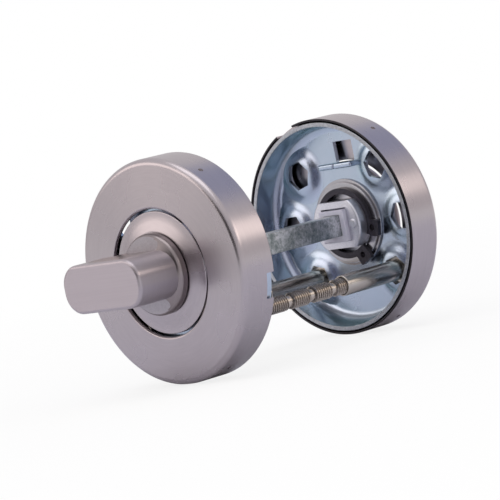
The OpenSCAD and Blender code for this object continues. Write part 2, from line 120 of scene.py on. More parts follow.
soft_boxes = {
    "soft_box_above": ((0.08, -0.22, 0.93), 0.8, 0.6, 1.9, "#ffffff"),
    "soft_box_left": ((-0.6, -0.7, 0.38), 0.9, 0.44, 1.55, "#fff3e8"),
    "soft_box_right": ((0.85, 0.36, 0.35), 0.9, 0.26, 1.35, "#fff1e2"),
}
for name, (place, width, depth, power, colour) in soft_boxes.items():
    lamp = bpy.data.lights.new(name, "AREA")
    lamp.shape, lamp.size, lamp.size_y = "RECTANGLE", width, depth
    lamp.energy, lamp.color = power, linear(colour)[:3]
    box = bpy.data.objects.new(name, lamp)
    box.location = place
    box.rotation_euler = (-Vector(place)).to_track_quat("-Z", "Y").to_euler()
    scene.collection.objects.link(box)

floor_size, floor_height, shadow_reach = 6.0, -0.0262, 0.35
glow_near_share, glow_far_share = 0.8, 1.0
sheet = bmesh.new()
bmesh.ops.create_grid(sheet, x_segments=1, y_segments=1, size=floor_size / 2,
                      matrix=Matrix.Translation((0, 0, floor_height)))
floor = bpy.data.objects.new("floor", bpy.data.meshes.new("floor"))
sheet.to_mesh(floor.data)
sheet.free()
scene.collection.objects.link(floor)
paper, tree, here = bare_material("matt_white_paper_sweep")
away = add(tree, "ShaderNodeVectorMath", {0: here}, operation="LENGTH").outputs["Value"]
share = add(tree, "ShaderNodeMapRange", {
    "Value": away, "From Max": shadow_reach, "To Min": glow_near_share,
    "To Max": glow_far_share})
rays = add(tree, "ShaderNodeLightPath").outputs
seen = add(tree, "ShaderNodeMath", {
    0: add(tree, "ShaderNodeMath", {0: rays["Is Camera Ray"], 1: rays["Is Glossy Ray"]},
           operation="ADD").outputs[0],
    1: rays["Is Transmission Ray"]}, operation="ADD").outputs[0]
matt = add(tree, "ShaderNodeBsdfDiffuse", {"Color": linear("#ececec")})
glow = add(tree, "ShaderNodeEmission", {"Color": linear("#ffffff"), "Strength": 1.0})
lit = add(tree, "ShaderNodeMixShader", {
    0: add(tree, "ShaderNodeMath", {0: seen, 1: share.outputs["Result"]},
           operation="MULTIPLY").outputs[0],
    1: matt.outputs[0], 2: glow.outputs[0]})
add(tree, "ShaderNodeOutputMaterial", {"Surface": lit.outputs[0]})
floor.data.materials.append(paper)

# Two cards that only the bare metal sees. A black one stands in front of the set and gives
# the coned sides of the collar and boss the dark half that they have in the photo, and a
# grey one lies under the set and keeps its undersides from shining like its upper sides.
felt_nap = 0.03
cards = {
    "black_card": ((0.035, -0.42, 0.092), (0.33, 0.236), math.pi / 2, "#1c1a1b", "#2c2829"),
    "grey_card": ((0, -0.02, -0.0258), (0.4, 0.34), 0.0, "#dee0e9", "#e4e6ef"),
}
for name, (place, (width, depth), turn, dark, pale) in cards.items():
    sheet = bmesh.new()
    bmesh.ops.create_grid(sheet, x_segments=1, y_segments=1, size=0.5, matrix=(
        Matrix.Translation(place) @ Matrix.Rotation(turn, 4, "X")
        @ Matrix.Diagonal((width, depth, 1, 1))))
    card = bpy.data.objects.new(name, bpy.data.meshes.new(name))
    sheet.to_mesh(card.data)
    sheet.free()
    scene.collection.objects.link(card)
    card.visible_camera = card.visible_diffuse = card.visible_shadow = False
    felt, tree, here = bare_material("felt_on_" + name)
    nap = add(tree, "ShaderNodeTexNoise", {"Vector": here, "Scale": 1 / felt_nap})
    shade = add(tree, "ShaderNodeMixRGB", {"Fac": nap.outputs["Fac"], "Color1": linear(dark),
                                           "Color2": linear(pale)})
    matt = add(tree, "ShaderNodeBsdfDiffuse", {"Color": shade.outputs["Color"]})
    add(tree, "ShaderNodeOutputMaterial", {"Surface": matt.outputs[0]})
    card.data.materials.append(felt)

# Rose covers. Each is a cup drawn from 0.8 mm stainless sheet, ironed thinner at its wall,
# with a round opening in its face, a notch in its open rim for a screwdriver, and three
# dimples that snap on the plate.
door_gap = 46.5
turn_side, release_side = -1, 1
cover_r, cover_depth, cover_sheet, cover_edge_r = 26.0, 9.5, 0.8, 1.5
cover_wall, cover_crown, opening_r, opening_edge_r = 0.5, 0.6, 14.7, 0.6
rim_edge_r, merge_gap, arc_steps, round_steps = 0.12, 0.0001, 6, 192
notch_w, notch_depth = 6.0, 2.4
notch_angles = {turn_side: 105, release_side: -20}
dimple_angles, dimple_height = (35, 155, 275), 5.5
dimple_r, dimple_mouth_r, dimple_tip_r, dimple_steps = 0.9, 1.08, 0.12, 24
dimple_depth, dimple_inside, punch_skin = 0.5, 0.45, 0.05


def revolve(corners, steps=round_steps):
    """Spins a closed outline of (radius, depth, corner cut) about the rose's axis."""
    shape = bmesh.new()
    points = [shape.verts.new((r, 0, d)) for r, d, _ in corners]
    shape.faces.new(points)
    for point, (_, _, cut) in zip(points, corners):
        if cut:
            bmesh.ops.bevel(shape, geom=[point], offset=cut, offset_type="OFFSET",
                            segments=arc_steps, profile=0.5, affect="VERTICES", material=-1)
    bmesh.ops.delete(shape, geom=shape.faces[:], context="FACES_ONLY")
    on_axis = [e for e in shape.edges if all(abs(v.co.x) < merge_gap for v in e.verts)]
    bmesh.ops.delete(shape, geom=on_axis, context="EDGES")
    bmesh.ops.spin(shape, geom=shape.verts[:] + shape.edges[:], cent=(0, 0, 0), axis=(0, 0, 1),
                   angle=2 * math.pi, steps=steps, use_merge=True)
    bmesh.ops.remove_doubles(shape, verts=shape.verts, dist=merge_gap)
    bmesh.ops.recalc_face_normals(shape, faces=shape.faces)
    return shape


def block(size, place, turn=0.0):
    """A block of that size, centred on a place and turned about the rose's axis."""
    shape = bmesh.new()
    bmesh.ops.create_cube(shape, size=1.0)
    bmesh.ops.transform(shape, verts=shape.verts, matrix=Matrix.Rotation(turn, 4, "Z")
                        @ Matrix.Translation(place) @ Matrix.Diagonal((*size, 1)))
    return shape


def bar(radius, length, place, sides=64, tip=None):
    """A round, hexagonal or tapered bar that starts at a place and runs along the depth."""
    shape = bmesh.new()
    bmesh.ops.create_cone(shape, cap_ends=True, segments=sides, radius1=radius,
                          radius2=radius if tip is None else tip, depth=length)
    bmesh.ops.transform(shape, verts=shape.verts, matrix=Matrix.Translation(place)
                        @ Matrix.Translation((0, 0, length / 2)))
    return shape


def piece(name, shape):
    """Makes an object of a finished shape."""
    made = bpy.data.objects.new(name, bpy.data.meshes.new(name))
    shape.to_mesh(made.data)
    shape.free()
    scene.collection.objects.link(made)
    return made


def carve(made, shape, operation="DIFFERENCE"):
    """Cuts a shape out of a piece, or joins or intersects the two, and keeps the result."""
    tool = piece("tool", shape)
    change = made.modifiers.new("carve", "BOOLEAN")
    change.object, change.operation, change.solver = tool, operation, "EXACT"
    result = bpy.data.meshes.new_from_object(
        made.evaluated_get(bpy.context.evaluated_depsgraph_get()))
    made.modifiers.clear()
    made.data = result
    result.name = made.name
    bpy.data.objects.remove(tool)


def round_from_top(angle, radius, depth=0.0):
    """Matrix to a place at an angle from the top of the rose, with Y outwards."""
    return (Matrix.Rotation(-math.radians(angle), 4, "Z")
            @ Matrix.Translation((0, radius, depth)))


def moved(shape, matrix):
    """Moves a shape by a matrix, and gives it back."""
    bmesh.ops.transform(shape, verts=shape.verts, matrix=matrix)
    return shape


def fit_to_rose(made, side, soft_edge=0.0, sharp=35.0):
    """Sets a piece drawn on the rose's axis in its place in the set, in metres."""
    place = Matrix(((1, 0, 0, 0), (0, 0, side, side * door_gap / 2), (0, 1, 0, 0), (0, 0, 0, 1)))
    shape = bmesh.new()
    shape.from_mesh(made.data)
    bmesh.ops.remove_doubles(shape, verts=shape.verts, dist=merge_gap)
    bmesh.ops.transform(shape, verts=shape.verts, matrix=Matrix.Scale(MM, 4) @ place)
    bmesh.ops.recalc_face_normals(shape, faces=shape.faces)
    for face in shape.faces:
        face.smooth = True
    for edge in shape.edges:
        edge.smooth = edge.calc_face_angle(0) < math.radians(sharp)
    shape.to_mesh(made.data)
    shape.free()
    made.data.materials.clear()
    if soft_edge:
        edges = made.modifiers.new("soft edges", "BEVEL")
        edges.width, edges.segments, edges.limit_method = soft_edge * MM, 3, "ANGLE"
        edges.angle_limit, edges.use_clamp_overlap = math.radians(sharp), True
        edges.harden_normals = False
    level = made.modifiers.new("even shading", "WEIGHTED_NORMAL")
    level.keep_sharp = True
    return made


covers = {}
for side, node in ((turn_side, "turn_cover"), (release_side, "release_cover")):
    cover = piece(node + "_shell", revolve([
        (cover_r, 0, rim_edge_r),
        (cover_r, cover_depth, cover_edge_r),
        (opening_r, cover_depth + cover_crown, opening_edge_r),
        (opening_r, cover_depth + cover_crown - cover_sheet, 0),
        (cover_r - cover_wall, cover_depth - cover_sheet, cover_edge_r - cover_sheet),
        (cover_r - cover_wall, 0, rim_edge_r)]))
    for angle in dimple_angles:
        inside = cover_r - cover_wall - dimple_inside
        carve(cover, moved(bar(dimple_r / 2, dimple_inside + cover_wall / 2, (0, 0, 0),
                               dimple_steps, dimple_r),
                           round_from_top(angle, inside, dimple_height)
                           @ Matrix.Rotation(-math.pi / 2, 4, "X")), "UNION")
        carve(cover, moved(bar(dimple_mouth_r, 2 * dimple_depth, (0, 0, 0), dimple_steps,
                               dimple_tip_r),
                           round_from_top(angle, cover_r + dimple_depth, dimple_height)
                           @ Matrix.Rotation(math.pi / 2, 4, "X")))
    carve(cover, moved(block((notch_w, 3 * cover_sheet, 2 * notch_depth), (0, 0, 0)),
                       round_from_top(notch_angles[side], cover_r - cover_sheet / 2)))
    covers[node] = fit_to_rose(cover, side)
    # Faces inside the three dimples get the second material, a painted shade in these hollows.
    dimples = [round_from_top(angle, cover_r).translation.xy for angle in dimple_angles]
    for face in cover.data.polygons:
        flat = Vector((face.center.x, face.center.z)) / MM
        depth = side * face.center.y / MM - door_gap / 2
        near = min((flat - dimple).length for dimple in dimples) < dimple_r
        face.material_index = int(near and abs(depth - dimple_height) < dimple_r
                                  and flat.length < cover_r - punch_skin)
    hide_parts(node)
    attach(cover, "turn_rose" if side == turn_side else "release_rose")

# Satin stainless steel, polished flat and then brushed round and round on a lathe, so its
# shine spreads across the fine lines and fans out from the middle of the rose. Where the
# blank was sheared, at the open rim, the steel is rough, and painted dark as the shade of the
# rim.
stainless_bright, stainless_deep, rim_painted_shade = "#b6aeb1", "#a79fa3", "#3b383b"
brush_pitch, brush_run, brush_height, shaded_rim_band = 0.28, 4.0, 0.02, 0.12
wide_shade, small_shade = 9.0, 6.0


def spun_steel(name, bright, deep, roughness, spread, shade_size):
    """Bare metal brushed about the spindle; the true lines are finer than a pixel."""
    metal, tree, here = bare_material(name)
    split = add(tree, "ShaderNodeSeparateXYZ", {"Vector": here}).outputs
    flat = add(tree, "ShaderNodeCombineXYZ", {"X": split["X"], "Z": split["Z"]}).outputs[0]
    radius = add(tree, "ShaderNodeVectorMath", {0: flat}, operation="LENGTH").outputs["Value"]
    outwards = add(tree, "ShaderNodeVectorMath", {0: flat}, operation="NORMALIZE").outputs[0]
    across = add(tree, "ShaderNodeMath", {0: radius, 1: split["Y"]}, operation="ADD").outputs[0]
    lines = add(tree, "ShaderNodeMath", {0: across, 1: 1 / (brush_pitch * MM)},
                operation="MULTIPLY").outputs[0]
    along = add(tree, "ShaderNodeVectorMath", {0: outwards, 3: brush_run},
                operation="SCALE").outputs[0]
    split_along = add(tree, "ShaderNodeSeparateXYZ", {"Vector": along}).outputs
    grain_at = add(tree, "ShaderNodeCombineXYZ", {
        "X": split_along["X"], "Y": lines, "Z": split_along["Z"]}).outputs[0]
    grain = add(tree, "ShaderNodeTexNoise", {"Vector": grain_at, "Scale": 1.0, "Detail": 3.0,
                                             "Roughness": 0.6}).outputs["Fac"]
    cloud = add(tree, "ShaderNodeTexNoise", {"Vector": here, "Scale": 1 / (shade_size * MM),
                                             "Detail": 2.0}).outputs["Fac"]
    brushed = add(tree, "ShaderNodeMixRGB", {"Fac": grain, "Color1": linear(deep),
                                             "Color2": linear(bright)}).outputs["Color"]
    # Painted shade: near the open rim the colour turns dark, as the rim lies in shadow.
    depth = add(tree, "ShaderNodeMath", {0: split["Y"]}, operation="ABSOLUTE").outputs[0]
    rim_zone = add(tree, "ShaderNodeMath", {0: depth, 1: (door_gap / 2 + shaded_rim_band) * MM},
                  operation="LESS_THAN").outputs[0]
    colour = add(tree, "ShaderNodeMixRGB", {"Fac": rim_zone, "Color1": brushed,
                                            "Color2": linear(rim_painted_shade)})
    rough = add(tree, "ShaderNodeMapRange", {"Value": cloud, "To Min": roughness - 0.03,
                                             "To Max": roughness + 0.05}).outputs["Result"]
    ridges = add(tree, "ShaderNodeBump", {"Height": grain, "Strength": 0.12,
                                          "Distance": brush_height * MM}).outputs["Normal"]
    ring = add(tree, "ShaderNodeVectorMath", {0: outwards, 1: (0, 1, 0)},
               operation="CROSS_PRODUCT").outputs[0]
    steel = add(tree, "ShaderNodeBsdfPrincipled", {
        "Base Color": colour.outputs["Color"], "Metallic": 1.0, "Roughness": rough,
        "Anisotropic": spread, "Anisotropic Rotation": 0.25, "Tangent": ring,
        "Normal": ridges})
    add(tree, "ShaderNodeOutputMaterial", {"Surface": steel.outputs[0]})
    return metal


brushed_cover = spun_steel("stainless_steel_lathe_brushed", stainless_bright, stainless_deep,
                           0.27, 0.5, wide_shade)
# Steel in the dimples: a darker mottle, painted shade for these small hollows.
dimple_shade_deep, dimple_shade_pale, dimple_shade_grain = "#3d393d", "#8a8285", 0.4
painted_dimple_shade, tree, here = bare_material("stainless_steel_punch_mark")
dimple_shade_noise = add(tree, "ShaderNodeTexNoise", {"Vector": here, "Scale": 1 / (dimple_shade_grain * MM)})
colour = add(tree, "ShaderNodeMixRGB", {"Fac": dimple_shade_noise.outputs["Fac"], "Color1": linear(dimple_shade_deep),
                                        "Color2": linear(dimple_shade_pale)})
steel = add(tree, "ShaderNodeBsdfPrincipled", {
    "Base Color": colour.outputs["Color"], "Metallic": 1.0, "Roughness": 0.45})
add(tree, "ShaderNodeOutputMaterial", {"Surface": steel.outputs[0]})
for cover in covers.values():
    cover.data.materials.append(brushed_cover)
    cover.data.materials.append(painted_dimple_shade)

# Fixing plates. Each is a zinc-plated steel cup that is screwed to the door. Its floor has
# six raised seats with hexagonal holes, a punched window with a bent lip, and a round bore.
plate_r, plate_depth, plate_sheet, fold_r = 25.1, 8.0, 1.0, 2.4
plate_bore_r, sheared_edge_r = 9.4, 0.14
plate_floor = plate_depth - plate_sheet
fixing_angles, fixing_r = (-135, -90, -45, 45, 90, 135), 18.0
seat_r, seat_rise, seat_slope, seat_edge_r, seat_steps = 5.1, 1.2, 2.2, 1.15, 72
hexagon_w, hexagon_sides = 6.2, 6
window_w, window_h, window_x, window_r = 6.0, 5.0, 2.6, 17.0
lip_w, lip_t, lip_rise, lip_edge_r, lip_slit = 11.4, 1.4, 1.8, 0.5, 0.35
short_lobe_w, short_lobe_drop = 5.2, 0.5
over, skin = 0.5, 0.02


def round_edges(shape, edges, radius, steps):
    """Rounds some edges of a shape."""
    bmesh.ops.bevel(shape, geom=edges, offset=radius, offset_type="OFFSET", segments=steps,
                    profile=0.5, affect="EDGES", material=-1)


pressing = piece("pressing", revolve([
    (plate_r, 0, sheared_edge_r),
    (plate_r, plate_depth, fold_r + plate_sheet),
    (plate_bore_r, plate_depth, sheared_edge_r),
    (plate_bore_r, plate_floor, sheared_edge_r),
    (plate_r - plate_sheet, plate_floor, fold_r),
    (plate_r - plate_sheet, 0, sheared_edge_r)]))
seat_face = plate_floor - seat_rise
seat_back = plate_depth - seat_rise
for angle in fixing_angles:
    spot = round_from_top(angle, fixing_r)
    carve(pressing, moved(revolve([
        (0, seat_face, 0), (seat_r - seat_slope / 2, seat_face, seat_edge_r),
        (seat_r + seat_slope / 2, plate_floor - skin, seat_edge_r),
        (seat_r + seat_slope / 2 + seat_edge_r, plate_floor - skin, 0),
        (seat_r + seat_slope / 2 + seat_edge_r, plate_floor + plate_sheet / 2, 0),
        (0, plate_floor + plate_sheet / 2, 0)], seat_steps), spot), "UNION")
    carve(pressing, moved(bar(seat_r - plate_sheet, seat_rise + over, (0, 0, seat_back),
                              seat_steps), spot))
    carve(pressing, moved(bar(hexagon_w / math.sqrt(3), plate_sheet + 2 * over,
                              (0, 0, seat_face - over), hexagon_sides), spot))
carve(pressing, block((window_w, window_h, 3 * plate_sheet),
                      (window_x, window_r, plate_floor + plate_sheet / 2)))
lip_left = window_x + window_w / 2 - lip_w
lip_y = window_r - window_h / 2 - lip_t / 2
long_lobe_left = lip_left + short_lobe_w + lip_slit
for left, width, rise in (
        (lip_left, short_lobe_w, lip_rise - short_lobe_drop),
        (long_lobe_left, lip_left + lip_w - long_lobe_left, lip_rise)):
    lobe = block((width, lip_t, rise + plate_sheet / 2),
                 (left + width / 2, lip_y, plate_floor + (plate_sheet / 2 - rise) / 2))
    round_edges(lobe, lobe.edges[:], lip_edge_r, 3)
    carve(pressing, lobe, "UNION")

# Bright zinc on pressed steel: a cloudy shine that is lilac where it is seen face on and
# teal at a slant, with a faint ripple from the press, and a pale grainy band at the rim.
zinc_lilac, zinc_blue, zinc_teal = "#c2c5d8", "#a6b0c6", "#a5bfc3"
rim_bright, rim_deep, rim_band = "#d6d8dc", "#7d8088", 0.12
cloud_size, ripple_size, grain_size, ripple_height = 6.0, 3.5, 0.35, 0.06
zinc, tree, here = bare_material("steel_sheet_bright_zinc_plated")
cloud = add(tree, "ShaderNodeTexNoise", {"Vector": here, "Scale": 1 / (cloud_size * MM),
                                         "Detail": 3.0}).outputs["Fac"]
grain = add(tree, "ShaderNodeTexNoise", {"Vector": here, "Scale": 1 / (grain_size * MM),
                                         "Detail": 2.0}).outputs["Fac"]
depth = add(tree, "ShaderNodeMath", {
    0: add(tree, "ShaderNodeSeparateXYZ", {"Vector": here}).outputs["Y"]},
    operation="ABSOLUTE").outputs[0]
rim = add(tree, "ShaderNodeMath", {0: depth, 1: (door_gap / 2 + rim_band) * MM},
          operation="LESS_THAN").outputs[0]
face_on = add(tree, "ShaderNodeMixRGB", {"Fac": cloud, "Color1": linear(zinc_blue),
                                         "Color2": linear(zinc_lilac)}).outputs["Color"]
slant = add(tree, "ShaderNodeLayerWeight", {"Blend": 0.5}).outputs["Facing"]
plated = add(tree, "ShaderNodeMixRGB", {"Fac": slant, "Color1": face_on,
                                        "Color2": linear(zinc_teal)}).outputs["Color"]
rim_zone = add(tree, "ShaderNodeMixRGB", {"Fac": grain, "Color1": linear(rim_deep),
                                         "Color2": linear(rim_bright)}).outputs["Color"]
colour = add(tree, "ShaderNodeMixRGB", {"Fac": rim, "Color1": plated, "Color2": rim_zone})
smooth = add(tree, "ShaderNodeMapRange", {"Value": cloud, "To Min": 0.2, "To Max": 0.32})
rough = add(tree, "ShaderNodeMath", {0: rim, 1: 0.3, 2: smooth.outputs["Result"]},
            operation="MULTIPLY_ADD").outputs[0]
ripple = add(tree, "ShaderNodeTexNoise", {"Vector": here, "Scale": 1 / (ripple_size * MM),
                                          "Detail": 1.0}).outputs["Fac"]
height = add(tree, "ShaderNodeMath", {
    0: add(tree, "ShaderNodeMath", {0: grain, 1: rim}, operation="MULTIPLY").outputs[0],
    1: 0.5, 2: ripple}, operation="MULTIPLY_ADD").outputs[0]
uneven = add(tree, "ShaderNodeBump", {"Height": height, "Strength": 0.35,
                                      "Distance": ripple_height * MM}).outputs["Normal"]
steel = add(tree, "ShaderNodeBsdfPrincipled", {
    "Base Color": colour.outputs["Color"], "Metallic": 1.0, "Roughness": rough,
    "Normal": uneven})
add(tree, "ShaderNodeOutputMaterial", {"Surface": steel.outputs[0]})
for side, node, body in ((turn_side, "turn_plate", "turn_rose"),
                         (release_side, "release_plate", "release_rose")):
    plate = bpy.data.objects.new(node + "_pressing", pressing.data.copy())
    scene.collection.objects.link(plate)
    fit_to_rose(plate, side)
    plate.data.materials.append(zinc)
    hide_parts(node)
    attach(plate, body)
bpy.data.objects.remove(pressing)

# Flange bushes. Each is turned from stainless bar: a round flange with a low coned collar
# fills the opening of the cover, and the bush behind it fits the bore of the plate.
neck_bore_r, flange_r, flange_t, turned_edge_r = 7.65, 14.1, 1.5, 0.1
collar_r, collar_base_r, collar_rise, collar_foot_r = 9.6, 12.9, 0.8, 1.2
flange_top = plate_depth + flange_t
collar_top = flange_top + collar_rise
for side, node, body in ((turn_side, "turn_flange_bush", "turn_rose"),
                         (release_side, "release_flange_bush", "release_rose")):
    flange = piece(node + "_turned", revolve([
        (neck_bore_r, plate_floor, turned_edge_r), (plate_bore_r, plate_floor, turned_edge_r),
        (plate_bore_r, plate_depth, 0), (flange_r, plate_depth, turned_edge_r),
        (flange_r, flange_top, 2 * turned_edge_r), (collar_base_r, flange_top, collar_foot_r),
        (collar_r, collar_top, 2 * turned_edge_r), (neck_bore_r, collar_top, turned_edge_r)]))
    fit_to_rose(flange, side)
    flange.data.materials.append(brushed_cover)
    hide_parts(node)
    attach(flange, body)

# Washers. A large and a small one of polished steel lie on each other on the plate, and
# take up the play between it and the retaining ring.
washer_t, large_washer_r, small_washer_r, washer_edge_r = 0.55, 10.5, 9.8, 0.16
polished_bright, polished_deep = "#b4b2b6", "#9c9a9e"
polished = spun_steel("steel_washer_polished", polished_bright, polished_deep, 0.2, 0.4,
                      small_shade)
for side, rose in ((turn_side, "turn"), (release_side, "release")):
    for size, outer_r, number in (("large", large_washer_r, 1), ("small", small_washer_r, 2)):
        low = plate_floor - number * washer_t
        washer = piece(f"{rose}_{size}_washer_ring", revolve([
            (neck_bore_r, low, washer_edge_r / 2), (outer_r, low, washer_edge_r),
            (outer_r, low + washer_t, washer_edge_r),
            (neck_bore_r, low + washer_t, washer_edge_r / 2)]))
        fit_to_rose(washer, side)
        washer.data.materials.append(polished)
        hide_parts(f"{rose}_{size}_washer")
        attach(washer, rose + "_rose")

# Thumb turn. The neck and boss are turned, and the offset blade and the flats of the nose
# are milled from the same stainless bar; a round cutter left a step on each side of the
# blade. A square socket in the nose takes the plastic insert, and a bore the spindle.
neck_r, groove_r, ring_t, ring_play, turn_gap = 7.55, 7.1, 1.0, 0.05, 0.25
ring_low = plate_floor - 2 * washer_t - ring_play - ring_t
nose_depth, nose_edge_r, nose_half, flat_len = 2.2, 0.7, 5.6, 5.0
boss_r, boss_h, boss_cone_w, shoulder_rise, boss_edge_r = 9.4, 1.8, 2.7, 1.5, 0.6
boss_back = collar_top + turn_gap
boss_top = boss_back + boss_h + shoulder_rise
blade_long, blade_short, blade_t, blade_front = 17.0, 8.5, 11.2, boss_back + 14.0
blade_corner_r, blade_edge_r, wing_tip_t, wing_root_t = 4.9, 0.8, 8.0, 10.2
step_h, step_end, step_reach, cutter_r = 2.1, 3.1, 0.3, 1.3
insert_w, insert_len, insert_at, play = 8.0, 7.8, 1.0, 0.1
spindle_w, spindle_end, spindle_len = 5.0, insert_at + insert_len, 66.0
socket_w, socket_end, bore_end = insert_w + play, spindle_end + play, blade_front - 2.0
square_bore = spindle_w + 2 * play
pip_x, pip_d, pip_rise, soft_edge, milled_steps = 5.5, 2.3, 0.4, 0.14, 48

neck_corners = [
    (0, nose_depth, 0), (neck_r, nose_depth, nose_edge_r), (neck_r, ring_low - ring_play, 0),
    (groove_r, ring_low - ring_play, 0), (groove_r, ring_low + ring_t + ring_play, 0),
    (neck_r, ring_low + ring_t + ring_play, 0), (neck_r, boss_back, 0),
    (boss_r, boss_back, soft_edge)]


def finish_nose(turned):
    """Adds the pip, and mills the two flats and the square socket."""
    pip = revolve([(0, nose_depth - pip_rise, 0), (pip_d / 2, nose_depth - pip_rise, pip_rise),
                   (pip_d / 2, nose_depth + over, 0), (0, nose_depth + over, 0)], milled_steps)
    carve(turned, moved(pip, Matrix.Translation((pip_x, 0, 0))), "UNION")
    for half in (1, -1):
        carve(turned, block((2 * boss_r, neck_r, flat_len + over),
                            (0, half * (nose_half + neck_r / 2),
                             nose_depth + (flat_len - over) / 2)))
    carve(turned, block((socket_w, socket_w, socket_end - nose_depth + over),
                        (0, 0, (nose_depth - over + socket_end) / 2)))


knob = piece("thumb_turn_milled", revolve(neck_corners + [
    (boss_r, boss_back + boss_h, boss_edge_r), (boss_r - boss_cone_w, boss_top, boss_edge_r),
    (0, boss_top, 0)]))
step_floor, step_y = boss_back + step_h, blade_t / 2 - step_reach
for half in (1, -1):
    carve(knob, block((boss_r + over + step_end, boss_r, shoulder_rise),
                      ((step_end - boss_r - over) / 2, half * (step_y + boss_r / 2),
                       step_floor + shoulder_rise / 2)))
    carve(knob, bar(cutter_r, shoulder_rise, (step_end, half * (step_y + cutter_r), step_floor),
                    milled_steps))
blade_len = blade_long + blade_short
shape = block((blade_len, blade_t, blade_front - boss_back),
              ((blade_short - blade_long) / 2, 0, (blade_front + boss_back) / 2))
round_edges(shape, [e for e in shape.edges if abs(e.verts[0].co.z - e.verts[1].co.z) > over],
            blade_corner_r, 16)
round_edges(shape, [e for e in shape.edges if all(v.co.z > blade_front - skin for v in e.verts)],
            blade_edge_r, 6)
blade = piece("blade", shape)
slope = (wing_root_t - wing_tip_t) / (blade_long - boss_r)
root_depth = blade_front - wing_root_t - boss_back
relief = block((blade_long, blade_t + 2 * over, root_depth + over),
               (-boss_r - blade_long / 2, 0, boss_back + (root_depth - over) / 2))
for vert in relief.verts:
    if vert.co.x < -boss_r - over and vert.co.z > boss_back:
        vert.co.z += blade_long * slope
carve(blade, relief)
shape = bmesh.new()
shape.from_mesh(blade.data)
carve(knob, shape, "UNION")
bpy.data.objects.remove(blade)
finish_nose(knob)
carve(knob, block((square_bore, square_bore, bore_end - socket_end + over),
                  (0, 0, (bore_end + socket_end - over) / 2)))
fit_to_rose(knob, turn_side, soft_edge)
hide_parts("thumb_turn_knob")
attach(knob, "thumb_turn")

# Satin stainless steel, ground on a belt: the lines run along the face of the blade and
# round its edge, and spread the shine across themselves. The floors of the milled steps
# are left rougher, with a grain like fine sand.
ground_bright, ground_deep = "#b1a9ae", "#a8a0a5"
milled_bright, milled_deep = "#bcb7bc", "#979298"
turned_bright, turned_deep = "#938a8b", "#847b7c"
line_pitch, line_run, line_height, mill_grain, belt_lean = 0.3, 16.0, 0.03, 0.35, 0.12
for name, rough_min, rough_max, ground_share, spread, bright, deep in (
        ("stainless_steel_ground_satin", 0.34, 0.4, 1.0, 0.85, ground_bright, ground_deep),
        ("stainless_steel_as_milled", 0.36, 0.5, 0.0, 0.0, milled_bright, milled_deep)):
    satin, tree, here = bare_material(name)
    around, along = (add(tree, "ShaderNodeTexNoise", {
        "Vector": add(tree, "ShaderNodeMapping", {"Vector": here, "Scale": [
            1 / (size * MM) for size in sizes]}).outputs[0],
        "Scale": 1.0, "Detail": 3.0}).outputs["Fac"] for sizes in (
            (line_run, line_pitch, line_run), (line_run, line_pitch, line_pitch)))
    normal = add(tree, "ShaderNodeNewGeometry").outputs["Normal"]
    facing = add(tree, "ShaderNodeSeparateXYZ", {"Vector": normal}).outputs["Y"]
    front = add(tree, "ShaderNodeMath", {0: facing, 1: -0.8}, operation="LESS_THAN").outputs[0]
    lines = add(tree, "ShaderNodeMixRGB", {"Fac": front, "Color1": around, "Color2": along})
    speck = add(tree, "ShaderNodeTexNoise", {"Vector": here, "Scale": 1 / (mill_grain * MM),
                                             "Detail": 2.0}).outputs["Fac"]
    grain = add(tree, "ShaderNodeMixRGB", {"Fac": ground_share, "Color1": speck,
                                           "Color2": lines.outputs["Color"]}).outputs["Color"]
    colour = add(tree, "ShaderNodeMixRGB", {"Fac": grain, "Color1": linear(deep),
                                            "Color2": linear(bright)})
    rough = add(tree, "ShaderNodeMapRange", {"Value": grain, "To Min": rough_min,
                                             "To Max": rough_max}).outputs["Result"]
    uneven = add(tree, "ShaderNodeBump", {
        "Height": grain, "Strength": 0.15 - 0.12 * ground_share,
        "Distance": line_height * MM}).outputs["Normal"]
    belt = add(tree, "ShaderNodeVectorMath", {
        0: add(tree, "ShaderNodeVectorMath", {0: normal, 1: (0, 1, 0)},
               operation="CROSS_PRODUCT").outputs[0],
        1: (belt_lean, 0, 0)}, operation="ADD").outputs[0]
    steel = add(tree, "ShaderNodeBsdfPrincipled", {
        "Base Color": colour.outputs["Color"], "Metallic": 1.0, "Roughness": rough,
        "Anisotropic": spread, "Anisotropic Rotation": 0.25, "Tangent": belt,
        "Normal": uneven})
    add(tree, "ShaderNodeOutputMaterial", {"Surface": steel.outputs[0]})
    knob.data.materials.append(satin)
knob.data.materials.append(spun_steel("stainless_steel_turned", turned_bright, turned_deep,
                                      0.28, 0.4, small_shade))
for face in knob.data.polygons:
    depth = -face.center.y / MM - door_gap / 2
    radius = Vector((face.center.x, face.center.z)).length / MM
    if abs(depth - step_floor) < skin and face.normal.y < -1 + skin:
        face.material_index = 1
    elif depth < boss_top + skin and radius > boss_r - boss_cone_w - over:
        face.material_index = 2

# Coin release. The same neck and nose, with a round button on the outside of the door and
# a slot across it that a coin turns in an emergency.
button_h, button_edge_r, coin_slot_w, coin_slot_depth = 2.4, 0.5, 1.7, 1.5
button_top = boss_back + button_h
release = piece("coin_release_turned", revolve(neck_corners + [
    (boss_r, button_top, button_edge_r), (0, button_top, 0)]))
carve(release, block((2 * boss_r + 2 * over, coin_slot_w, 2 * coin_slot_depth),
                     (0, 0, button_top)))
finish_nose(release)
fit_to_rose(release, release_side, soft_edge)
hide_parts("coin_release")
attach(release, "release_turn")

